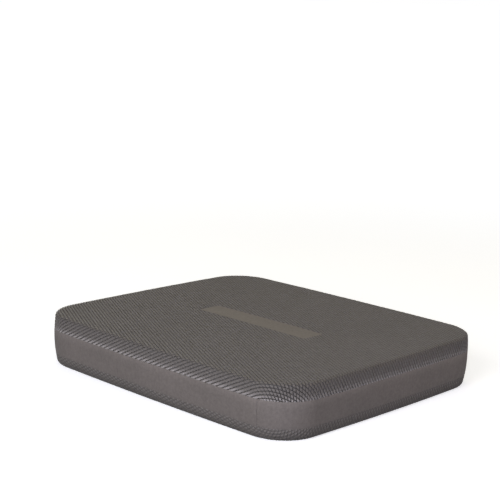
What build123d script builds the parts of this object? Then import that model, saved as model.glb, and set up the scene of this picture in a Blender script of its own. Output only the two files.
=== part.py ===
from build123d import *
import os

# Overall size of the unloaded pad, in millimetres
LENGTH = 400.0
WIDTH = 343.0
THICKNESS = 60.0

# Plan shape: four slightly bowed sides with rounded corners
SIDE_BOW = 3.5
CORNER_RADIUS = 50.0

# Side section: one shallow bulge between a tight top edge and a softer bottom edge
BULGE_RADIUS = 184.0
BULGE_HEIGHT = 38.0
TOP_EDGE_RADIUS = 3.5
BOTTOM_EDGE_RADIUS = 5.0
SMALLEST_EDGE_RADIUS = 1.0

# Textured skins wrap round both edges as far as these heights, and a smooth band lies between them
UPPER_SKIN_HEM = 42.0
LOWER_SKIN_HEM = 13.5
SKIN_THICKNESS = 2.5

# The band is one strip whose ends meet at a fine upright slit on the -Y side
BAND_SLIT_X = 159.0
BAND_SLIT_WIDTH = 0.2

# The core is two foam slabs laminated at this height
CORE_JOINT_HEIGHT = 30.0

# Blank smooth panel let into the middle of the top skin, with a fine groove round it
PANEL_LENGTH = 168.0
PANEL_WIDTH = 32.0
PANEL_CORNER_RADIUS = 3.0
PANEL_GROOVE = 0.4
PANEL_RECESS = 0.4

# How far the swept rim reaches in from the side before the plain middle takes over
RIM_DEPTH = 40.0


def plan_face():
    """The pad's largest outline, seen from above, as a flat face at z = 0."""
    corner_x = LENGTH / 2 - SIDE_BOW
    corner_y = WIDTH / 2 - SIDE_BOW
    sides = [
        ThreePointArc((-corner_x, -corner_y), (0, -WIDTH / 2), (corner_x, -corner_y)),
        ThreePointArc((corner_x, -corner_y), (LENGTH / 2, 0), (corner_x, corner_y)),
        ThreePointArc((corner_x, corner_y), (0, WIDTH / 2), (-corner_x, corner_y)),
        ThreePointArc((-corner_x, corner_y), (-LENGTH / 2, 0), (-corner_x, -corner_y)),
    ]
    face = make_face(sides)
    return fillet(face.vertices(), CORNER_RADIUS).face()


def bulge_inset(z):
    """How far the side stands in from its outermost line at height z, apart from the edge radii."""
    return (z - BULGE_HEIGHT) ** 2 / (2 * BULGE_RADIUS)


def rim_section(depth):
    """Section of the rim, depth millimetres under the surface: x runs inwards and y is the height."""
    low = depth
    high = THICKNESS - depth
    middle = THICKNESS / 2
    side = ThreePointArc(
        (bulge_inset(low) + depth, low),
        (bulge_inset(middle) + depth, middle),
        (bulge_inset(high) + depth, high),
    )
    top = Line(side @ 1, (RIM_DEPTH, high))
    inner = Line(top @ 1, (RIM_DEPTH, low))
    bottom = Line(inner @ 1, side @ 0)
    face = make_face([side, top, inner, bottom])
    top_corner = face.vertices().group_by(Axis.Y)[-1].sort_by(Axis.X)[0]
    face = fillet(top_corner, max(TOP_EDGE_RADIUS - depth, SMALLEST_EDGE_RADIUS))
    bottom_corner = face.vertices().group_by(Axis.Y)[0].sort_by(Axis.X)[0]
    return fillet(bottom_corner, max(BOTTOM_EDGE_RADIUS - depth, SMALLEST_EDGE_RADIUS))


def pad_body(depth):
    """The whole pad as one solid, with its surface depth millimetres under the real one."""
    outline = plan_face()
    path = outline.outer_wire()
    start = path @ 0
    tangent = path % 0
    inwards = Vector(0, 0, 1).cross(tangent)
    if inwards.dot(start) > 0:
        inwards = -inwards
    section_plane = Plane(origin=start, x_dir=inwards, z_dir=inwards.cross(Vector(0, 0, 1)))
    rim = sweep(section_plane * rim_section(depth), path=path)
    middle_face = Pos(0, 0, depth) * offset(outline, amount=-RIM_DEPTH / 2)
    return rim + extrude(middle_face, THICKNESS - 2 * depth)


def between(low, high):
    """A block that covers the pad's whole plan between two heights."""
    block = Box(2 * LENGTH, 2 * WIDTH, high - low, align=(Align.CENTER, Align.CENTER, Align.MIN))
    return Pos(0, 0, low) * block


def panel_block(margin):
    """The blank panel's outline, margin millimetres larger all round, standing through the top skin."""
    outline = RectangleRounded(
        PANEL_LENGTH + 2 * margin, PANEL_WIDTH + 2 * margin, PANEL_CORNER_RADIUS + margin
    )
    return Pos(0, 0, THICKNESS - SKIN_THICKNESS) * extrude(outline, 2 * SKIN_THICKNESS)


def top_skin(outside, core):
    """Textured skin over the top, wrapped down the sides to the band, open where the panel sits."""
    skin = outside & between(UPPER_SKIN_HEM, THICKNESS + 1)
    return skin - core - panel_block(PANEL_GROOVE)


def bottom_skin(outside, core):
    """Textured skin under the pad, wrapped up the sides to the band."""
    return (outside & between(-1, LOWER_SKIN_HEM)) - core


def side_band(outside, core):
    """Smooth strip round the sides, flush with the skins, with its ends butted at a slit."""
    strip = (outside & between(LOWER_SKIN_HEM, UPPER_SKIN_HEM)) - core
    slit = Pos(BAND_SLIT_X, -WIDTH / 2, THICKNESS / 2) * Box(BAND_SLIT_WIDTH, RIM_DEPTH, THICKNESS)
    return strip - slit


def foam_core_lower(core):
    """Lower slab of closed-cell foam."""
    return core & between(0, CORE_JOINT_HEIGHT)


def foam_core_upper(core):
    """Upper slab of closed-cell foam."""
    return core & between(CORE_JOINT_HEIGHT, THICKNESS)


def name_panel():
    """Blank smooth patch in the middle of the top, a little below the textured surface."""
    return panel_block(0) & between(0, THICKNESS - PANEL_RECESS)


def main():
    outside = pad_body(0)
    core = pad_body(SKIN_THICKNESS)
    parts = {
        "top_skin": top_skin(outside, core),
        "bottom_skin": bottom_skin(outside, core),
        "side_band": side_band(outside, core),
        "foam_core_lower": foam_core_lower(core),
        "foam_core_upper": foam_core_upper(core),
        "name_panel": name_panel(),
    }
    os.makedirs("parts", exist_ok=True)
    for name, shape in parts.items():
        export_step(shape, f"parts/{name}.step")


main()
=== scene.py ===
"""A foam balance pad: diamond-textured skins, a smooth side band, a blank panel and the foam core.

The unrolled texture plan is one flat diamond lattice. It is clipped where the skin ends, and wrapped
over the pad's edge, so the same lozenges run across the top and down the side.
"""

import math
from typing import NamedTuple

import bpy
import numpy as np
from mathutils import Matrix, Vector, geometry


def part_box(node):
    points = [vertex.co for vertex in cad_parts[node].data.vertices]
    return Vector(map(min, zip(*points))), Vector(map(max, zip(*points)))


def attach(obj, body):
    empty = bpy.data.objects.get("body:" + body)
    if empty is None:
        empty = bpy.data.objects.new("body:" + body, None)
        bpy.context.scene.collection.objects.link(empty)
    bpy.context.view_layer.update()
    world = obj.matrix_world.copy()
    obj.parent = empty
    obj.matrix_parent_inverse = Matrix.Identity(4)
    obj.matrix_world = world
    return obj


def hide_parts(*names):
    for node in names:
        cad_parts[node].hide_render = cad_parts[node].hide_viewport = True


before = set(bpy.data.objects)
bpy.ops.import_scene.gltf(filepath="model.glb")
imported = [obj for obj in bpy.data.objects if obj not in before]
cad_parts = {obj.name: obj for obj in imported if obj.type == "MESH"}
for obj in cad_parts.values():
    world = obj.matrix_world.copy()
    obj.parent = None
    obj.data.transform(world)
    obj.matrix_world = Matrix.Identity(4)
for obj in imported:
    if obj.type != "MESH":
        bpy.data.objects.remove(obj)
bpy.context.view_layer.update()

MM = 0.001

# ---------------------------------------------------------------- sizes from the frame, in metres
TOP_LOW, TOP_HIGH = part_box("top_skin")
_, BOTTOM_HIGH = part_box("bottom_skin")
PANEL_LOW, PANEL_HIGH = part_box("name_panel")
_, BAND_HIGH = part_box("side_band")
CORE_LOW, CORE_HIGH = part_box("foam_core_upper")

BULGE_RADIUS = 184 * MM
BULGE_HEIGHT = 38 * MM
TOP_EDGE_RADIUS = 3.5 * MM
BOTTOM_EDGE_RADIUS = 5 * MM
SIDE_BOW = 3.5 * MM
CORNER_RADIUS = 50 * MM

THICKNESS = TOP_HIGH.z
UPPER_HEM = TOP_LOW.z
LOWER_HEM = BOTTOM_HIGH.z
SKIN = THICKNESS - CORE_HIGH.z
CORE_JOINT = CORE_LOW.z


def bulge_inset(z):
    """How far the side stands in from its outermost line at height z."""
    return BULGE_RADIUS - np.sqrt(BULGE_RADIUS**2 - (z - BULGE_HEIGHT) ** 2)


HALF_LENGTH = BAND_HIGH.x
HALF_WIDTH = BAND_HIGH.y

# ---------------------------------------------------------------- surface detail, in metres
UPPER_LOZENGE = np.array((7.68, 4.09)) * MM      # its length along x and its width along y
LOWER_LOZENGE = np.array((7.2, 4.35)) * MM
GROOVE_SHARE = 0.15          # of a lozenge's side, from the middle of a groove to its shoulder
HEIGHT_SPREAD = 0.12         # how unevenly the lozenges rise, as a share of the groove's depth
CROWN_START = 0.35           # how far from a groove a lozenge is at its highest, as a share of its side
CROWN_HEIGHT = 0.2 * MM      # how far a lozenge's top is domed
CROWN_GLOSS = 0.27           # how much less rough the top of the dome is
SKIN_BUMP = 0.12 * MM        # the height of the skins' pores and grain
HEM_ROUND = 0.06 * MM
HEM_GAP = 0.03 * MM          # between the skins' hems and the band's edges
BAND_ROUND = 0.1 * MM
BAND_BUMP = 0.09 * MM        # the height of the band's pores and streaks
BAND_STATION = 2 * MM        # from one column of the band's points to the next
BAND_ROWS = 20               # of points, from hem to hem
BAND_INNER_ROWS = 4
BAND_PAINTED_LIGHT_EDGE = 9 * MM      # how far under the upper hem the band is painted a little paler: painted light
BAND_SLIT_X = 159 * MM
BAND_SLIT_WIDTH = 0.2 * MM
PANEL_CORNER = 3 * MM
PANEL_GROOVE = 0.4 * MM
PANEL_ROUND = 0.5 * MM
PANEL_BUMP = 0.06 * MM
PANEL_ROWS = 26              # of points along x
PANEL_COLUMNS = 110
CORE_CLEARANCE = 0.05 * MM   # between the core and the skins
CORE_JOINT_ROUND = 0.4 * MM
CORE_STATION = 4 * MM
CORE_ROWS = 8                # of points up a slab's side, between its rounded edges
CORE_ROUND_ROWS = 5          # round each of those edges
CORE_BUMP = 0.3 * MM
SHARP_ANGLE = math.radians(62)

# The slight unevenness of the whole pad: low waves, each with its share of the height, its turns along x
# and along y in radians per metre, and its phase
WAVE_HEIGHT = 0.22 * MM
WAVES = ((1.0, 31, 17, 0.7), (0.7, -23, 43, 2.1), (0.5, 67, 59, 4.0))
EDGE_CALM = 0.6              # how much lower the waves are at the pad's outline than in its middle
SWAY_TURNS = (37, 41, 90)    # of the sides' unevenness, in radians per metre along x, y and z

# The band's own faint ripple: height, radians per metre along the band, and phase
BAND_RIPPLES = ((0.05 * MM, 190, 0.0), (0.04 * MM, 427, 1.3))
RIPPLE_REACH = 4 * MM        # how far from the hems the ripple has its full height

# Points that round a sharp edge lie this far from it, as shares of the rounding's radius
BAND_EDGE_STEPS = np.array((0.0, 0.12, 0.3, 0.6, 1.0))
PANEL_EDGE_STEPS = np.array((0.0, 0.06, 0.2, 0.5, 1.0, 2.0))


class Grooves(NamedTuple):
    """What the grooves and the lozenges between them are like at one place on a skin."""

    depth: float   # in metres
    wear_and_painted_light: float     # how pale the lozenge tips are made, partly wear and partly painted highlight; lower values dim all the foam there as painted shade, most of all below 0
    painted_groove_shade: float    # how far up its walls a groove is painted dark, painted shade, as a share of its depth; past 1, the tips too
    ribs: float    # how far the pale tips, worn and painted bright, run on across the second family of grooves, from 0 to 1


EDGE_REACH = 2 * MM          # how far from the crease the flat face's grooves begin to change
HEM_REACH = 5.5 * MM         # how far above a hem its grooves begin to change

# On the flat face, on the edge itself, near the hem, and at the hem. The tip paleness and the dark groove
# walls paint light and shade: on the upper edge the low paleness is painted shade in the crease, and at the
# hem the pale tips are wear and painted highlight.
UPPER_GROOVES = (
    Grooves(1.5 * MM, 0.35, 1.5, 0.0),
    Grooves(1.4 * MM, 0.1, 0.7, 0.7),
    Grooves(1.7 * MM, 0.25, 0.25, 0.9),
    Grooves(1.9 * MM, 1.25, 0.26, 0.5),
)
# On the lower skin's edge the negative paleness dims the foam: painted shadow where the pad meets the floor
LOWER_GROOVES = (
    Grooves(0.6 * MM, 0.4, 0.5, 0.0),
    Grooves(0.4 * MM, -0.5, 0.5, 0.0),
    Grooves(0.6 * MM, 0.2, 0.3, 0.0),
    Grooves(0.2 * MM, 0.3, 0.02, 0.0),
)

# A place on the edge faces squarely out of a side while its outward direction turns less than the first
# angle from that side's, and belongs wholly to a corner from the second angle on
SIDE_TURN = math.cos(math.radians(14))
CORNER_TURN = math.cos(math.radians(32))
SHORT_SIDE_RIBS = 0.35       # the ribs along the short sides, as a share of the long sides'
SHORT_SIDE_PAINTED_SHADE = 0.3        # how much less pale the lozenge tips are along the short sides, which also dims the foam there: painted shade
LONG_SIDE_EASE = 0.3         # how much shallower the grooves are along the long sides


# ---------------------------------------------------------------- the plan outline
def circle_crossing(centre_a, radius_a, centre_b, radius_b):
    """Where two circles cross, on the side with the larger x and y."""
    a, b = np.array(centre_a), np.array(centre_b)
    apart = np.linalg.norm(b - a)
    along = (radius_a**2 - radius_b**2 + apart**2) / (2 * apart)
    across = math.sqrt(radius_a**2 - along**2)
    direction = (b - a) / apart
    middle = a + direction * along
    turned = np.array((-direction[1], direction[0]))
    return max(middle + turned * across, middle - turned * across, key=lambda p: p.sum())


class Plan:
    """The pad's largest outline: two pairs of shallow arcs joined by tangent corner arcs."""

    def __init__(self):
        corner_x = HALF_LENGTH - SIDE_BOW
        corner_y = HALF_WIDTH - SIDE_BOW
        self.long_radius = (corner_x**2 + SIDE_BOW**2) / (2 * SIDE_BOW)
        self.short_radius = (corner_y**2 + SIDE_BOW**2) / (2 * SIDE_BOW)
        self.long_centre = np.array((0.0, HALF_WIDTH - self.long_radius))
        self.short_centre = np.array((HALF_LENGTH - self.short_radius, 0.0))
        self.corner_centre = circle_crossing(
            self.long_centre, self.long_radius - CORNER_RADIUS,
            self.short_centre, self.short_radius - CORNER_RADIUS,
        )
        to_short = self.corner_centre - self.short_centre
        to_long = self.corner_centre - self.long_centre
        self.corner_from = math.atan2(to_short[1], to_short[0])
        self.corner_to = math.atan2(to_long[1], to_long[0])

    def offset(self, points):
        """Each point's distance outside the outline, and the outward direction there."""
        signs = np.where(points < 0, -1.0, 1.0)
        quarter = np.abs(points)
        from_long = quarter - self.long_centre
        from_short = quarter - self.short_centre
        from_corner = quarter - self.corner_centre
        long_far = np.linalg.norm(from_long, axis=1)
        short_far = np.linalg.norm(from_short, axis=1)
        corner_far = np.linalg.norm(from_corner, axis=1)
        long_out = long_far - self.long_radius
        short_out = short_far - self.short_radius
        angle = np.arctan2(from_corner[:, 1], from_corner[:, 0])
        at_corner = (angle > self.corner_from) & (angle < self.corner_to)
        beside_long = long_out > short_out
        out = np.where(beside_long, long_out, short_out)
        out = np.where(at_corner, corner_far - CORNER_RADIUS, out)
        direction = np.where(
            beside_long[:, None], from_long / long_far[:, None], from_short / short_far[:, None]
        )
        with np.errstate(invalid="ignore", divide="ignore"):
            from_corner = from_corner / corner_far[:, None]
        direction = np.where(at_corner[:, None], from_corner, direction)
        return out, direction * signs

    def walk(self, step):
        """Points round the outline about step apart, counter-clockwise from the middle of the +X side."""
        quarter = [
            (self.short_centre, self.short_radius, 0.0, self.corner_from),
            (self.corner_centre, CORNER_RADIUS, self.corner_from, self.corner_to),
            (self.long_centre, self.long_radius, self.corner_to, math.pi / 2),
        ]
        first = []
        for centre, radius, start, stop in quarter:
            count = max(2, round(radius * (stop - start) / step))
            for angle in np.linspace(start, stop, count, endpoint=False):
                first.append(centre + radius * np.array((math.cos(angle), math.sin(angle))))
        first = np.array(first)
        second = (first[1:] * (-1, 1))[::-1]
        top = np.array([(0.0, HALF_WIDTH)])
        half = np.vstack([first, top, second])
        left = np.array([(-HALF_LENGTH, 0.0)])
        return np.vstack([half, left, (half[1:] * (1, -1))[::-1]])


PLAN = Plan()


# ---------------------------------------------------------------- the side section
class Section:
    """One edge of the side section: a flat face, an edge radius, then the shallow bulge.

    A distance along it is measured from the crease, where the flat face ends.
    """

    def __init__(self, edge_radius, up):
        self.up = up
        self.radius = edge_radius
        self.flat = THICKNESS if up > 0 else 0.0
        self.centre_z = self.flat - up * edge_radius
        rise = self.centre_z - BULGE_HEIGHT
        reach = BULGE_RADIUS - edge_radius
        self.centre_inset = BULGE_RADIUS - math.sqrt(reach**2 - rise**2)
        self.meeting = math.asin(rise / reach)
        self.edge_length = edge_radius * (math.pi / 2 - abs(self.meeting))

    def length_to(self, z):
        """The distance from the crease to height z on the bulge."""
        angle = math.asin((z - BULGE_HEIGHT) / BULGE_RADIUS)
        return self.edge_length + BULGE_RADIUS * abs(self.meeting - angle)

    def at(self, along):
        """Inset, height and the surface's angle above the horizontal, at distances from the crease."""
        along = np.maximum(along, 0.0)
        on_edge = along < self.edge_length
        edge_angle = self.up * (math.pi / 2 - along / self.radius)
        bulge_angle = self.meeting - self.up * (along - self.edge_length) / BULGE_RADIUS
        angle = np.where(on_edge, edge_angle, bulge_angle)
        inset = np.where(
            on_edge,
            self.centre_inset - self.radius * np.cos(angle),
            BULGE_RADIUS - BULGE_RADIUS * np.cos(angle),
        )
        z = np.where(
            on_edge,
            self.centre_z + self.radius * np.sin(angle),
            BULGE_HEIGHT + BULGE_RADIUS * np.sin(angle),
        )
        return inset, z, angle


def settle(points):
    """The slight unevenness of real foam: long low waves that fade out towards the floor."""
    x, y, z = points.T
    wave = sum(share * np.sin(x * per_x + y * per_y + phase) for share, per_x, per_y, phase in WAVES)
    wave /= sum(share for share, *_ in WAVES)
    lifted = z / THICKNESS
    towards_edge = np.clip(np.hypot(x / HALF_LENGTH, y / HALF_WIDTH), 0, 1) ** 2
    moved = points.copy()
    moved[:, 2] += WAVE_HEIGHT * wave * lifted * (1 - EDGE_CALM * towards_edge)
    half_way_up = lifted * (1 - lifted) * 4
    sway = WAVE_HEIGHT * np.sin(points @ SWAY_TURNS) * half_way_up
    moved[:, 0] += sway * np.sign(x) * np.clip(np.abs(x) / HALF_LENGTH, 0, 1) ** 4
    moved[:, 1] += sway * np.sign(y) * np.clip(np.abs(y) / HALF_WIDTH, 0, 1) ** 4
    return moved


# ---------------------------------------------------------------- mesh helpers
def make_piece(name, points, faces, attributes):
    """A mesh object from points and faces, smooth-shaded apart from its hard corners.

    The attributes are vectors, one for each point, that the materials read.
    """
    mesh = bpy.data.meshes.new(name)
    mesh.from_pydata(np.asarray(points).tolist(), [], faces)
    for label, vectors in attributes.items():
        numbers = np.asarray(vectors, np.float32).ravel()
        mesh.attributes.new(label, "FLOAT_VECTOR", "POINT").data.foreach_set("vector", numbers)
    mesh.validate()
    mesh.shade_smooth()
    mesh.set_sharp_from_angle(angle=SHARP_ANGLE)
    piece = bpy.data.objects.new(name, mesh)
    bpy.context.scene.collection.objects.link(piece)
    return piece


def boundary_loops(faces):
    """The closed loops of points along edges that only one face uses, in the faces' own direction."""
    following = {}
    for face in faces:
        for a, b in zip(face, face[1:] + face[:1]):
            if following.get((b, a)):
                del following[(b, a)]
            else:
                following[(a, b)] = True
    after = dict(following.keys())
    loops = []
    while after:
        start, point = next(iter(after.items()))
        del after[start]
        loop = [start]
        while point != start:
            loop.append(point)
            point = after.pop(point)
        loops.append(loop)
    return loops


def bridge(faces, ring_a, ring_b):
    """Quads from one closed ring of points to the next."""
    count = len(ring_a)
    for i in range(count):
        j = (i + 1) % count
        faces.append([ring_a[j], ring_a[i], ring_b[i], ring_b[j]])


def lid(points, rings, facing_up, inside_hole=None):
    """Triangles that fill the flat region inside the first ring, apart from a hole."""
    inside_only = 1
    closest = 1e-9
    flat, edges, names = [], [], []
    for ring in rings:
        base = len(flat)
        flat.extend(Vector((points[i][0], points[i][1])) for i in ring)
        names.extend(ring)
        edges.extend((base + i, base + (i + 1) % len(ring)) for i in range(len(ring)))
    filled = geometry.delaunay_2d_cdt(flat, edges, [], inside_only, closest)
    triangles, originals = filled[2:4]
    result = []
    for triangle in triangles:
        corners = [names[originals[v][0]] for v in triangle]
        a, b, c = (np.array(points[v][:2]) for v in corners)
        if inside_hole is not None and inside_hole((a + b + c) / 3):
            continue
        ahead, beside = b - a, c - a
        anticlockwise = ahead[0] * beside[1] - ahead[1] * beside[0] > 0
        if anticlockwise != facing_up:
            corners.reverse()
        result.append(corners)
    return result


# ---------------------------------------------------------------- the textured skins
def lozenge_lattice(lozenge, reach_x, reach_y, rng):
    """A flat lattice of lozenges: its points, how far each stands up, and its quads.

    Each lozenge is three by three quads: a raised middle, and slopes down to the grooves round it.
    """
    half = lozenge / 2
    count = math.ceil((reach_x / half[0] + reach_y / half[1]) / 2) + 1
    cells = np.arange(-count, count)
    shares = np.array((0.0, GROOVE_SHARE, 1 - GROOVE_SHARE))
    steps = (cells[:, None] + shares).ravel()
    raised = np.tile((0.0, 1.0, 1.0), len(cells))
    u, v = np.meshgrid(steps, steps, indexing="ij")
    points = np.stack([(u + v) * half[0], (u - v) * half[1]], axis=-1).reshape(-1, 2)
    rise = 1 - HEIGHT_SPREAD * rng.random((len(cells), len(cells)))
    rise = np.repeat(np.repeat(rise, 3, axis=0), 3, axis=1)
    height = (raised[:, None] * raised[None, :] * rise).ravel()
    side = len(steps)
    corner = (np.arange(side - 1)[:, None] * side + np.arange(side - 1)).ravel()
    quads = np.stack([corner, corner + 1, corner + side + 1, corner + side], axis=1)
    near = (np.abs(points) < (reach_x, reach_y)).all(axis=1)
    return points, height, quads[near[quads].all(axis=1)]


def lattice_place(flat, lozenge):
    """Where plan points lie in the lattice: grooves run where either number is whole."""
    along, across = (flat / lozenge).T
    return np.column_stack([along + across, along - across])


def clip(points, height, faces, outside):
    """Cuts the flat mesh along the line where outside() is zero, and keeps its negative side.

    Points that nearly lie on the line are first moved onto it, so that no sliver is cut off.
    """
    snap = 0.16 * MM
    nudge = 0.01 * MM
    value = outside(points)
    close = np.flatnonzero(np.abs(value) < snap)
    slope = np.stack([
        outside(points[close] + step) - outside(points[close] - step)
        for step in np.eye(2) * nudge
    ], axis=1) / (2 * nudge)
    points = points.copy()
    points[close] -= slope * value[close, None]
    value[close] = 0.0
    whole, crossing = [], []
    for face in faces:
        ends = value[face]
        if ends.max() <= 0 and ends.min() < 0:
            whole.append(list(face))
        elif ends.min() < 0:
            crossing.append(list(face))
    new_points, new_height, made = [], [], {}
    for face in crossing:
        cut = []
        for a, b in zip(face, face[1:] + face[:1]):
            if value[a] <= 0:
                cut.append(a)
            if value[a] * value[b] < 0:
                key = (min(a, b), max(a, b))
                if key not in made:
                    share = value[key[0]] / (value[key[0]] - value[key[1]])
                    made[key] = len(points) + len(new_points)
                    new_points.append(points[key[0]] * (1 - share) + points[key[1]] * share)
                    new_height.append(height[key[0]] * (1 - share) + height[key[1]] * share)
                cut.append(made[key])
        if len(cut) > 2:
            whole.append(cut)
    if new_points:
        points = np.vstack([points, new_points])
        height = np.concatenate([height, new_height])
    return points, height, whole


def without_unused(points, height, faces):
    """The same mesh without the points that no face uses."""
    used = sorted({v for face in faces for v in face})
    place = {v: i for i, v in enumerate(used)}
    return points[used], height[used], [[place[v] for v in face] for face in faces]


def panel_distance(points, margin):
    """Signed distance from the blank panel's rounded outline, widened by margin."""
    half = np.array((PANEL_HIGH.x, PANEL_HIGH.y)) + margin
    corner = PANEL_CORNER + margin
    beyond = np.abs(points) - (half - corner)
    outer = np.linalg.norm(np.maximum(beyond, 0), axis=-1)
    return outer + np.minimum(beyond.max(axis=-1), 0) - corner


def textured_skin(name, section, hem, lozenge, grooves, has_panel, seed):
    """One diamond-textured skin: relief outside, a rounded hem, and a plain inner face on the core."""
    rng = np.random.default_rng(seed)
    hem_length = section.length_to(hem) - HEM_ROUND
    reach = hem_length - section.centre_inset
    margin = reach + lozenge.max()
    flat, height, faces = lozenge_lattice(lozenge, HALF_LENGTH + margin, HALF_WIDTH + margin, rng)
    flat, height, faces = clip(flat, height, faces, lambda p: PLAN.offset(p)[0] - reach)
    if has_panel:
        flat, height, faces = clip(
            flat, height, faces, lambda p: -panel_distance(p, PANEL_GROOVE)
        )
    flat, height, faces = without_unused(flat, height, faces)
    if section.up < 0:
        faces = [face[::-1] for face in faces]

    out, direction = PLAN.offset(flat)
    along = out + section.centre_inset
    inset, z, angle = section.at(along)
    on_flat = along <= 0
    foot = flat - direction * out[:, None]
    place = np.where(on_flat[:, None], flat, foot - direction * inset[:, None])
    z = np.where(on_flat, section.flat, z)
    normal = np.column_stack([direction * np.cos(angle)[:, None], np.sin(angle)])
    normal[on_flat] = (0, 0, section.up)
    stops = (-EDGE_REACH, section.edge_length / 2, hem_length - HEM_REACH, hem_length)
    deepest, wear_and_painted_light, painted_groove_shade, ribs = (np.interp(along, stops, values) for values in zip(*grooves))
    squarely = np.clip((np.abs(direction) - CORNER_TURN) / (SIDE_TURN - CORNER_TURN), 0, 1)
    short_side, long_side = np.where(on_flat[:, None], 0.0, squarely).T
    depth = deepest * (1 - LONG_SIDE_EASE * long_side) * (1 - height)
    ribs = ribs * (SHORT_SIDE_RIBS * short_side + long_side)
    wear_and_painted_light = wear_and_painted_light * (1 - SHORT_SIDE_PAINTED_SHADE * short_side)
    points = (np.column_stack([place, z]) - normal * depth[:, None]).tolist()
    looks = np.column_stack([height, wear_and_painted_light, painted_groove_shade]).tolist()
    lattice = np.column_stack([lattice_place(flat, lozenge), ribs]).tolist()

    loops = boundary_loops(faces)
    rim = max(loops, key=len)
    inner_z = section.flat - section.up * SKIN
    inside = inset + np.cos(angle) * depth

    def ring(source, inwards, new_z):
        """A copy of a loop, moved inwards in the plan and to a new height."""
        start = len(points)
        for i in source:
            across = direction[i] * inwards(i)
            points.append([points[i][0] - across[0], points[i][1] - across[1], new_z(i)])
            looks.append(looks[i])
            lattice.append(lattice[i])
        return list(range(start, len(points)))

    turn = HEM_ROUND * math.sqrt(0.5)
    hem_inner = SKIN + float(bulge_inset(hem))
    core_edge = SKIN + section.centre_inset
    rings = [
        rim,
        ring(rim, lambda i: HEM_ROUND - turn, lambda i: points[i][2] - section.up * turn),
        ring(rim, lambda i: HEM_ROUND, lambda i: hem),
        ring(rim, lambda i: hem_inner - inside[i], lambda i: hem),
        ring(rim, lambda i: core_edge - inside[i], lambda i: inner_z),
    ]
    for a, b in zip(rings, rings[1:]):
        bridge(faces, a, b)
    lids = [rings[-1]]
    if has_panel:
        hole = min(loops, key=len)
        floor = ring(hole, lambda i: 0.0, lambda i: inner_z)
        bridge(faces, hole, floor)
        lids.append(floor)
    faces.extend(lid(
        points, lids, section.up < 0,
        (lambda p: panel_distance(p, PANEL_GROOVE) < 0) if has_panel else None,
    ))
    return make_piece(name, settle(np.array(points)), faces, {"looks": looks, "lattice": lattice})


# ---------------------------------------------------------------- the smooth side band
def band_columns():
    """Stations round the outline, from one side of the slit to the other.

    For each one: its place on the outline, the outward direction, its distance along the band, and its
    distance from the nearer end.
    """
    walk = PLAN.walk(BAND_STATION)
    closed = np.vstack([walk, walk[:1]])
    lengths = np.linalg.norm(np.diff(closed, axis=0), axis=1)
    along = np.concatenate([[0.0], np.cumsum(lengths)])
    total = along[-1]
    at_slit = np.where(walk[:, 1] < 0, np.abs(walk[:, 0] - BAND_SLIT_X), np.inf).argmin()
    before = at_slit if walk[at_slit, 0] < BAND_SLIT_X else at_slit - 1
    share = (BAND_SLIT_X - walk[before, 0]) / (walk[before + 1, 0] - walk[before, 0])
    slit = along[before] + share * lengths[before]
    gap = BAND_SLIT_WIDTH / 2
    length = total - 2 * gap
    ends = BAND_EDGE_STEPS * BAND_ROUND
    middle = np.linspace(0, length, round(total / BAND_STATION))
    middle = middle[(middle > 2 * BAND_ROUND) & (middle < length - 2 * BAND_ROUND)]
    stations = np.concatenate([ends, middle, (length - ends)[::-1]])
    to_end = np.minimum(stations, length - stations)
    where = (slit + gap + stations) % total
    place = np.column_stack([np.interp(where, along, closed[:, k]) for k in (0, 1)])
    out, direction = PLAN.offset(place)
    return place - direction * out[:, None], direction, stations, to_end


def rounding(distance, radius):
    """How far a rounded edge has fallen away at a distance from it."""
    short = np.clip(radius - distance, 0, radius)
    return radius - np.sqrt(radius**2 - short**2)


def side_band():
    """The smooth strip between the skins, a closed solid with softly rounded edges and butted ends."""
    foot, direction, stations, to_end = band_columns()
    ends = BAND_EDGE_STEPS * BAND_ROUND
    middle = np.linspace(LOWER_HEM, UPPER_HEM, BAND_ROWS)[2:-2]
    low, high = LOWER_HEM + HEM_GAP, UPPER_HEM - HEM_GAP
    heights = np.concatenate([low + ends, middle, (high - ends)[::-1]])
    to_hem = np.minimum(heights - low, high - heights)
    inner_heights = np.linspace(high, low, BAND_INNER_ROWS)
    columns, unrolled = [], []
    for base, out, station, end in zip(foot, direction, stations, to_end):
        ripple = sum(rise * math.sin(station * turns + phase) for rise, turns, phase in BAND_RIPPLES)
        inset = bulge_inset(heights) + ripple * np.minimum(to_hem / RIPPLE_REACH, 1)
        inset = inset + rounding(to_hem, BAND_ROUND) + float(rounding(end, BAND_ROUND))
        inner = bulge_inset(inner_heights) + SKIN
        for depth, z in zip(np.concatenate([inset, inner]), np.concatenate([heights, inner_heights])):
            columns.append((*(base - out * depth), z))
            unrolled.append((station, z, 0.0))
    count = len(heights) + len(inner_heights)
    faces = []
    for i in range(len(foot) - 1):
        here = [i * count + k for k in range(count)]
        there = [(i + 1) * count + k for k in range(count)]
        bridge(faces, here, there)
    last = (len(foot) - 1) * count
    faces.append(list(range(count)))
    faces.append([last + k for k in reversed(range(count))])
    return make_piece("band", settle(np.array(columns)), faces, {"unrolled": unrolled})


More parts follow.
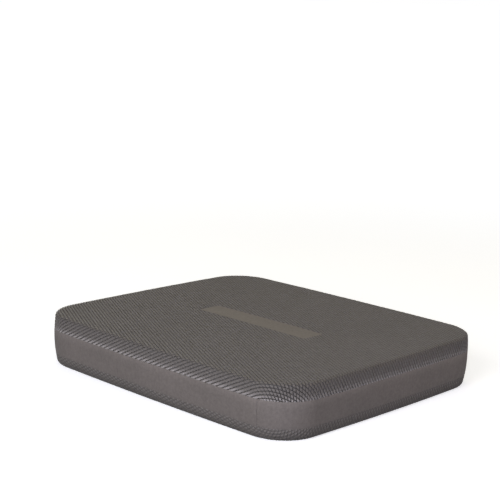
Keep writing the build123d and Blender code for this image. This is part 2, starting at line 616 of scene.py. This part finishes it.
# ---------------------------------------------------------------- the blank panel
def blank_panel():
    """The smooth patch in the top: a flat face with rounded edges, and nothing on it."""
    half_x, half_y, top = PANEL_HIGH.x, PANEL_HIGH.y, PANEL_HIGH.z
    base = PANEL_LOW.z
    edge = PANEL_EDGE_STEPS * PANEL_ROUND
    inner_rows = np.linspace(-half_y, half_y, PANEL_ROWS)[2:-2]
    inner_columns = np.linspace(-half_x, half_x, PANEL_COLUMNS)[1:-1]
    rows = np.concatenate([edge - half_y, inner_rows, (half_y - edge)[::-1]])
    shares = np.concatenate([edge - half_x, inner_columns, (half_x - edge)[::-1]]) / half_x
    into_corner = np.clip(np.abs(rows) - (half_y - PANEL_CORNER), 0, PANEL_CORNER)
    row_half = half_x - PANEL_CORNER + np.sqrt(PANEL_CORNER**2 - into_corner**2)
    x = row_half[:, None] * shares
    y = np.repeat(rows[:, None], len(shares), axis=1)
    flat = np.stack([x, y], axis=-1).reshape(-1, 2)
    inside = np.maximum(-panel_distance(flat, 0.0), 0)
    z = top - rounding(inside, PANEL_ROUND)
    points = np.column_stack([flat, z]).tolist()
    wide, tall = len(shares), len(rows)
    faces = []
    for r in range(tall - 1):
        for c in range(wide - 1):
            first = r * wide + c
            faces.append([first, first + 1, first + wide + 1, first + wide])
    rim = boundary_loops(faces)[0]
    floor = []
    for i in rim:
        floor.append(len(points))
        points.append([points[i][0], points[i][1], base])
    bridge(faces, rim, floor)
    faces.extend(lid(points, [floor], False))
    return make_piece("panel", settle(np.array(points)), faces, {})


# ---------------------------------------------------------------- the foam core
def foam_slab(name, low, high, low_edge, high_edge):
    """One slab of the core, a hair inside the skins, with its outer edges rounded."""
    foot = PLAN.walk(CORE_STATION)
    _, direction = PLAN.offset(foot)
    turns = np.linspace(0, math.pi / 2, CORE_ROUND_ROWS)
    lower = [(low + low_edge * (1 - math.cos(a)), low_edge * (1 - math.sin(a))) for a in turns]
    upper = [(high - high_edge * (1 - math.cos(a)), high_edge * (1 - math.sin(a))) for a in turns[::-1]]
    middle = [(z, 0.0) for z in np.linspace(low + low_edge, high - high_edge, CORE_ROWS)[1:-1]]
    points, rings = [], []
    for z, fall in lower + middle + upper:
        inset = SKIN + CORE_CLEARANCE + float(bulge_inset(z)) + fall
        rings.append(list(range(len(points), len(points) + len(foot))))
        points.extend((*place, z) for place in foot - direction * inset)
    faces = []
    for a, b in zip(rings, rings[1:]):
        bridge(faces, b, a)
    faces.extend(lid(points, [rings[0]], False))
    faces.extend(lid(points, [rings[-1]], True))
    return make_piece(name, settle(np.array(points)), faces, {})


# ---------------------------------------------------------------- materials
NOISE_LOW, NOISE_HIGH = 0.3, 0.7      # most of a noise's values lie between these
PIT_BOTTOM, PIT_RIM = 0.12, 0.42      # how far a foam cell's pit reaches from its middle, in cell sizes


def rgb(red, green, blue):
    """A colour as Blender takes it, with full alpha."""
    return (red, green, blue, 1.0)


class Shader:
    """A material's node tree, with short ways to add and join nodes."""

    def __init__(self, name):
        self.material = bpy.data.materials.new(name)
        self.material.use_nodes = True
        self.tree = self.material.node_tree
        self.surface = self.tree.nodes["Principled BSDF"]
        self.place = self.node("ShaderNodeTexCoord").outputs["Object"]

    def node(self, kind, inputs=None, **settings):
        """A new node; each input is given a socket to link from, or a value."""
        made = self.tree.nodes.new(kind)
        for label, value in settings.items():
            setattr(made, label, value)
        for label, value in (inputs or {}).items():
            if isinstance(value, bpy.types.NodeSocket):
                self.tree.links.new(value, made.inputs[label])
            else:
                made.inputs[label].default_value = value
        return made

    def noise(self, scale, detail=3.0, roughness=0.5, place=None):
        """Noise centred on one half, with features about 1 / scale metres across."""
        inputs = {"Vector": place or self.place, "Scale": scale, "Detail": detail, "Roughness": roughness}
        return self.node("ShaderNodeTexNoise", inputs).outputs["Fac"]

    def spread(self, value, low, high, to_low, to_high):
        """The value's range from low to high, mapped smoothly onto another."""
        inputs = {
            "Value": value, "From Min": low, "From Max": high, "To Min": to_low, "To Max": to_high,
        }
        return self.node("ShaderNodeMapRange", inputs, interpolation_type="SMOOTHSTEP").outputs["Result"]

    def vary(self, noise, to_low, to_high):
        """A value that follows the noise from one end to the other."""
        return self.spread(noise, NOISE_LOW, NOISE_HIGH, to_low, to_high)

    def blend(self, share, first, second, mode="MIX"):
        """Two colours mixed; each of the three may be a socket or plain numbers."""
        mixed = self.node("ShaderNodeMix", data_type="RGBA", blend_type=mode)
        share_input, first_input, second_input, colour_output = 0, 6, 7, 2
        for index, value in ((share_input, share), (first_input, first), (second_input, second)):
            if isinstance(value, bpy.types.NodeSocket):
                self.tree.links.new(value, mixed.inputs[index])
            else:
                mixed.inputs[index].default_value = value
        return mixed.outputs[colour_output]

    def shade(self, colour, factor):
        """The colour made darker or paler by a factor."""
        return self.blend(1.0, colour, factor, "MULTIPLY")

    def add(self, *values):
        """The sum of several values."""
        total = values[0]
        for value in values[1:]:
            total = self.pair("ADD", total, value)
        return total

    def pair(self, operation, first, second):
        """Two values combined by a Math node; either may be a plain number."""
        made = self.node("ShaderNodeMath", operation=operation)
        for index, value in enumerate((first, second)):
            if isinstance(value, bpy.types.NodeSocket):
                self.tree.links.new(value, made.inputs[index])
            else:
                made.inputs[index].default_value = value
        return made.outputs[0]

    def times(self, value, factor):
        """The product of two values."""
        return self.pair("MULTIPLY", value, factor)

    def bump(self, height, distance):
        """Bumps as tall as height times distance, in metres."""
        return self.node(
            "ShaderNodeBump", {"Height": height, "Distance": distance, "Strength": 1.0}
        ).outputs["Normal"]

    def finish(self, colour, roughness, normal, **constants):
        """The material, with these on its surface; constants are set on the surface's own inputs."""
        links = {"Base Color": colour, "Roughness": roughness, "Normal": normal}
        for label, socket in links.items():
            self.tree.links.new(socket, self.surface.inputs[label])
        for label, value in constants.items():
            self.surface.inputs[label.replace("_", " ")].default_value = value
        return self.material


def pores(shader, scale):
    """Closed foam cells cut by the surface: 1 on the skin between them and 0 in each pit."""
    cells = shader.node("ShaderNodeTexVoronoi", {"Vector": shader.place, "Scale": scale})
    return shader.spread(cells.outputs["Distance"], PIT_BOTTOM, PIT_RIM, 0.0, 1.0)


def textured_foam():
    """The skins: olive-grey foam, with painted shade down in the grooves, tips made pale partly by wear and
    partly as painted highlight, and the foam dimmed as painted shade where the tips are least pale.
    """
    shader = Shader("textured_foam")
    looks = shader.node("ShaderNodeAttribute", attribute_name="looks").outputs["Vector"]
    relief, wear_and_painted_light, painted_groove_shade = shader.node("ShaderNodeSeparateXYZ", {"Vector": looks}).outputs
    lattice = shader.node("ShaderNodeAttribute", attribute_name="lattice").outputs["Vector"]
    place = shader.node("ShaderNodeSeparateXYZ", {"Vector": lattice}).outputs
    farthest = 0.5          # a groove is never farther away than this share of a lozenge's side
    # Where the ribs run on, the second family of grooves counts as farther away than it is
    to_second = shader.add(
        shader.pair("PINGPONG", place["X"], farthest), shader.times(place["Z"], farthest)
    )
    to_groove = shader.pair("MINIMUM", to_second, shader.pair("PINGPONG", place["Y"], farthest))
    crown = shader.spread(to_groove, 0.5 * GROOVE_SHARE, CROWN_START, 0.0, 1.0)
    cloud = shader.noise(14.0, 4.0)
    patch = shader.noise(160.0, 3.0, 0.6)
    grain = shader.noise(1500.0, 2.0, 0.6)
    body = shader.blend(
        shader.vary(cloud, 0.0, 1.0), rgb(0.112, 0.101, 0.096), rgb(0.122, 0.11, 0.105)
    )
    tip_wear_and_highlight = shader.blend(
        shader.spread(patch, 0.35, 0.7, 0.0, 1.0), rgb(0.3, 0.281, 0.287), rgb(0.34, 0.318, 0.324)
    )
    # Painted shade: the lower the tip paleness, the darker the whole foam, down to 0.65 of its colour
    body_with_painted_shade = shader.shade(body, shader.spread(wear_and_painted_light, -0.6, 0.6, 0.65, 1.0))
    # Pale tips on the lozenges' domes: partly wear, partly painted highlight
    with_tip_wear_and_highlight = shader.blend(shader.times(crown, wear_and_painted_light), body_with_painted_shade, tip_wear_and_highlight)
    # Painted shade: each groove darkens from its bottom up its walls, as far as the set share of its depth
    with_painted_groove_shade = shader.blend(
        shader.spread(relief, 0.0, painted_groove_shade, 0.75, 0.0), with_tip_wear_and_highlight, rgb(0.047, 0.047, 0.053)
    )
    colour = shader.shade(with_painted_groove_shade, shader.vary(grain, 0.9, 1.08))
    speckled = shader.add(shader.times(patch, 0.5), shader.times(grain, 0.5))
    roughness = shader.add(shader.vary(speckled, 0.92, 0.76), shader.times(crown, -CROWN_GLOSS))
    height = shader.add(
        shader.times(pores(shader, 1300.0), 0.5), shader.times(grain, 0.5), shader.times(patch, 0.6),
        shader.times(crown, CROWN_HEIGHT / SKIN_BUMP),
    )
    return shader.finish(
        colour, roughness, shader.bump(height, SKIN_BUMP),
        Specular_IOR_Level=0.45, Sheen_Weight=0.08, Sheen_Roughness=0.5,
    )


def band_foam():
    """The side band: pinkish grey, with fine upright streaks from the way the strip was skived."""
    shader = Shader("band_foam")
    unrolled = shader.node("ShaderNodeAttribute", attribute_name="unrolled").outputs["Vector"]
    stretched = shader.node(
        "ShaderNodeMapping", {"Vector": unrolled, "Scale": (1.0, 0.14, 1.0)}
    ).outputs["Vector"]
    streak = shader.noise(420.0, 4.0, 0.6, stretched)
    wide_streak = shader.noise(90.0, 3.0, 0.55, stretched)
    cloud = shader.noise(18.0, 3.0)
    mottle = shader.noise(330.0, 3.0, 0.65)
    grain = shader.noise(1300.0, 3.0, 0.65)
    body = shader.blend(
        shader.vary(cloud, 0.0, 1.0), rgb(0.144, 0.128, 0.123), rgb(0.156, 0.138, 0.133)
    )
    tone = shader.add(
        shader.times(streak, 0.15), shader.times(wide_streak, 0.1),
        shader.times(mottle, 0.5), shader.times(grain, 0.25),
    )
    height_up = shader.node("ShaderNodeSeparateXYZ", {"Vector": shader.place}).outputs["Z"]
    # Painted light: the band is made up to 15% paler just under the upper hem
    painted_light_edge = shader.spread(height_up, UPPER_HEM - BAND_PAINTED_LIGHT_EDGE, UPPER_HEM, 1.0, 1.15)
    colour = shader.shade(shader.shade(body, shader.vary(tone, 0.85, 1.15)), painted_light_edge)
    roughness = shader.vary(tone, 0.86, 0.7)
    height = shader.add(
        shader.times(streak, 0.25), shader.times(pores(shader, 1500.0), 0.35), shader.times(grain, 0.45)
    )
    return shader.finish(
        colour, roughness, shader.bump(height, BAND_BUMP),
        Specular_IOR_Level=0.36, Sheen_Weight=0.1, Sheen_Roughness=0.5,
    )


def panel_foam():
    """The blank panel: the same smooth foam as the band, pressed flatter, with a faint even grain."""
    shader = Shader("panel_foam")
    cloud = shader.noise(30.0, 3.0)
    patch = shader.noise(300.0, 3.0, 0.6)
    grain = shader.noise(1600.0, 3.0, 0.6)
    body = shader.blend(
        shader.vary(cloud, 0.0, 1.0), rgb(0.152, 0.136, 0.129), rgb(0.166, 0.148, 0.141)
    )
    tone = shader.add(shader.times(patch, 0.5), shader.times(grain, 0.5))
    colour = shader.shade(body, shader.vary(tone, 0.9, 1.1))
    roughness = shader.vary(tone, 0.8, 0.62)
    height = shader.add(shader.times(pores(shader, 1700.0), 0.3), shader.times(tone, 0.6))
    return shader.finish(
        colour, roughness, shader.bump(height, PANEL_BUMP),
        Specular_IOR_Level=0.4, Sheen_Weight=0.06, Sheen_Roughness=0.5,
    )


def core_foam():
    """The core: open cut foam with larger cells and no skin."""
    shader = Shader("core_foam")
    cloud = shader.noise(20.0, 3.0)
    grain = shader.noise(900.0, 4.0, 0.65)
    body = shader.blend(
        shader.vary(cloud, 0.0, 1.0), rgb(0.16, 0.146, 0.134), rgb(0.2, 0.182, 0.168)
    )
    cells = pores(shader, 700.0)
    tone = shader.add(shader.times(cells, 0.6), shader.times(grain, 0.4))
    colour = shader.shade(body, shader.spread(tone, 0.2, 0.9, 0.6, 1.1))
    roughness = shader.vary(grain, 0.98, 0.86)
    height = shader.add(cells, shader.times(grain, 0.5))
    return shader.finish(
        colour, roughness, shader.bump(height, CORE_BUMP),
        Specular_IOR_Level=0.3,
    )


def floor_paint():
    """The studio floor: pale and faintly uneven round the pad, fading to a glowing white further out."""
    shader = Shader("floor_paint")
    cloud = shader.noise(2.0, 3.0)
    grain = shader.noise(300.0, 3.0)
    colour = shader.blend(
        shader.vary(cloud, 0.0, 1.0), rgb(0.74, 0.76, 0.85), rgb(0.76, 0.78, 0.87)
    )
    roughness = shader.vary(grain, 0.85, 0.7)
    away = shader.node("ShaderNodeVectorMath", operation="LENGTH")
    shader.tree.links.new(shader.place, away.inputs[0])
    far = shader.spread(away.outputs["Value"], FLOOR_FADE_FROM, FLOOR_FADE_TO, 0.0, 1.0)
    glow = shader.spread(away.outputs["Value"], FLOOR_FADE_FROM, FLOOR_FADE_TO, FLOOR_GLOW, 1.0)
    shader.tree.links.new(shader.blend(far, colour, rgb(0, 0, 0)), shader.surface.inputs["Base Color"])
    shader.tree.links.new(glow, shader.surface.inputs["Emission Strength"])
    shader.tree.links.new(roughness, shader.surface.inputs["Roughness"])
    shader.surface.inputs["Emission Color"].default_value = rgb(1, 1, 1)
    shader.surface.inputs["Specular IOR Level"].default_value = 0.2
    return shader.material


# ---------------------------------------------------------------- the object
def dress(piece, node, material):
    """Puts a piece in place of its CAD node, with its material."""
    piece.data.materials.append(material)
    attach(piece, "root")
    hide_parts(node)


def build_pad():
    """All six pieces of the pad, each in place of its CAD node."""
    skin = textured_foam()
    core = core_foam()
    top = Section(TOP_EDGE_RADIUS, 1)
    bottom = Section(BOTTOM_EDGE_RADIUS, -1)
    skin_top = textured_skin(
        "skin_top", top, UPPER_HEM, UPPER_LOZENGE, UPPER_GROOVES, has_panel=True, seed=11
    )
    skin_bottom = textured_skin(
        "skin_bottom", bottom, LOWER_HEM, LOWER_LOZENGE, LOWER_GROOVES, has_panel=False, seed=12
    )
    dress(skin_top, "top_skin", skin)
    dress(skin_bottom, "bottom_skin", skin)
    dress(side_band(), "side_band", band_foam())
    dress(blank_panel(), "name_panel", panel_foam())
    lower = foam_slab(
        "core_lower", SKIN + CORE_CLEARANCE, CORE_JOINT, BOTTOM_EDGE_RADIUS - SKIN, CORE_JOINT_ROUND
    )
    upper = foam_slab(
        "core_upper", CORE_JOINT, CORE_HIGH.z - CORE_CLEARANCE, CORE_JOINT_ROUND, TOP_EDGE_RADIUS - SKIN
    )
    dress(lower, "foam_core_lower", core)
    dress(upper, "foam_core_upper", core)


# ---------------------------------------------------------------- the studio
CAMERA_AZIMUTH = math.radians(-46.74)
CAMERA_ELEVATION = math.radians(17.08)
CAMERA_ROLL = math.radians(2.12)
CAMERA_DISTANCE = 1.461
AIM_LEFT = math.radians(0.35)
AIM_UP = math.radians(5.53)
LENS = 89.64                # with the sensor's width, in millimetres
SENSOR_WIDTH = 36
NEAREST_SEEN = 0.05
FARTHEST_SEEN = 500

LIGHT_ABOVE = 0.2           # how much light the white surroundings give, above and below the horizon
LIGHT_BELOW = 0.25
HORIZON_BLUR = 0.2          # the one turns into the other this far above and below the horizon

FLOOR_GLOW = 0.58           # how white the floor glows by itself near the pad
FLOOR_FADE_FROM = 0.5       # from here on it glows more, and it is plain white from the second distance on
FLOOR_FADE_TO = 1.5
FLOOR_RINGS = (1.5, 4.0, 12.0, 40.0, 150.0)
FLOOR_SECTORS = 48
FLOOR_DROP = 0.1 * MM       # how far under the pad the floor lies


class Softbox(NamedTuple):
    """A square soft light that faces the pad."""

    name: str
    azimuth: float      # in degrees, like the elevation
    elevation: float
    size: float         # in metres
    power: float        # in watts
    colour: tuple


SOFTBOX_DISTANCE = 2.4
SOFTBOXES = (
    Softbox("front_left", -75, 28, 1.0, 29, (1.0, 0.96, 0.88)),
    Softbox("front_right", -48, 20, 0.7, 24.5, (0.8, 0.82, 1.0)),
    Softbox("side_right", 35, 30, 0.8, 7, (1.0, 0.7, 0.35)),
    Softbox("overhead", 120, 68, 1.4, 4.8, (1.0, 0.92, 0.1)),
    Softbox("back", 155, 22, 1.0, 4.2, (1.0, 0.94, 0.72)),
)


def seen_from(azimuth, elevation, distance):
    """A point at that distance from the pad, in that direction."""
    level = math.cos(elevation)
    return Vector((level * math.cos(azimuth), level * math.sin(azimuth), math.sin(elevation))) * distance


def look_at(position, target):
    """The rotation that points a camera or lamp at position towards target, level with the floor."""
    return (target - position).to_track_quat("-Z", "Y").to_matrix().to_4x4()


def camera():
    """The camera, aimed at the pad's foot and then turned a little aside and up."""
    place = seen_from(CAMERA_AZIMUTH, CAMERA_ELEVATION, CAMERA_DISTANCE)
    data = bpy.data.cameras.new("camera")
    data.sensor_width = SENSOR_WIDTH
    data.lens = LENS
    data.clip_start = NEAREST_SEEN
    data.clip_end = FARTHEST_SEEN
    eye = bpy.data.objects.new("camera", data)
    eye.matrix_world = (
        Matrix.Translation(place)
        @ look_at(place, Vector((0, 0, 0)))
        @ Matrix.Rotation(CAMERA_ROLL, 4, "Z")
        @ Matrix.Rotation(AIM_LEFT, 4, "Y")
        @ Matrix.Rotation(AIM_UP, 4, "X")
    )
    bpy.context.scene.collection.objects.link(eye)
    bpy.context.scene.camera = eye


def shine(softbox):
    """Puts a softbox in its place."""
    azimuth, elevation = math.radians(softbox.azimuth), math.radians(softbox.elevation)
    place = seen_from(azimuth, elevation, SOFTBOX_DISTANCE)
    data = bpy.data.lights.new(softbox.name, "AREA")
    data.shape = "SQUARE"
    data.size = softbox.size
    data.energy = softbox.power
    data.color = softbox.colour
    lamp = bpy.data.objects.new(softbox.name, data)
    lamp.matrix_world = Matrix.Translation(place) @ look_at(place, Vector((0, 0, 0)))
    bpy.context.scene.collection.objects.link(lamp)


def surroundings():
    """A world that the camera sees as plain white, and that lights the pad softly from all round."""
    world = bpy.data.worlds.new("studio")
    world.use_nodes = True
    nodes, links = world.node_tree.nodes, world.node_tree.links
    background = nodes["Background"]
    background.inputs["Color"].default_value = rgb(1.0, 1.0, 1.0)
    height = nodes.new("ShaderNodeSeparateXYZ")
    links.new(nodes.new("ShaderNodeTexCoord").outputs["Generated"], height.inputs["Vector"])
    light = nodes.new("ShaderNodeMapRange")
    light.inputs["From Min"].default_value = -HORIZON_BLUR
    light.inputs["From Max"].default_value = HORIZON_BLUR
    light.inputs["To Min"].default_value = LIGHT_BELOW
    light.inputs["To Max"].default_value = LIGHT_ABOVE
    links.new(height.outputs["Z"], light.inputs["Value"])
    shown = nodes.new("ShaderNodeMix")
    links.new(nodes.new("ShaderNodeLightPath").outputs["Is Camera Ray"], shown.inputs["Factor"])
    links.new(light.outputs["Result"], shown.inputs["A"])
    shown.inputs["B"].default_value = 1.0
    links.new(shown.outputs["Result"], background.inputs["Strength"])
    bpy.context.scene.world = world
    bpy.context.scene.view_settings.view_transform = "Standard"


def studio_floor():
    """A wide level disc of rings, pale enough to fade into the background."""
    mesh = bpy.data.meshes.new("floor")
    points = [(0.0, 0.0, -FLOOR_DROP)]
    for radius in FLOOR_RINGS:
        for k in range(FLOOR_SECTORS):
            turn = 2 * math.pi * k / FLOOR_SECTORS
            points.append((radius * math.cos(turn), radius * math.sin(turn), -FLOOR_DROP))
    faces = []
    for k in range(FLOOR_SECTORS):
        following = (k + 1) % FLOOR_SECTORS
        faces.append([0, 1 + k, 1 + following])
        for r in range(len(FLOOR_RINGS) - 1):
            inner = 1 + r * FLOOR_SECTORS
            outer = inner + FLOOR_SECTORS
            faces.append([inner + k, outer + k, outer + following, inner + following])
    mesh.from_pydata(points, [], faces)
    mesh.materials.append(floor_paint())
    floor = bpy.data.objects.new("floor", mesh)
    floor.visible_diffuse = False
    floor.visible_glossy = False
    bpy.context.scene.collection.objects.link(floor)


camera()
for box in SOFTBOXES:
    shine(box)
surroundings()
studio_floor()
build_pad()
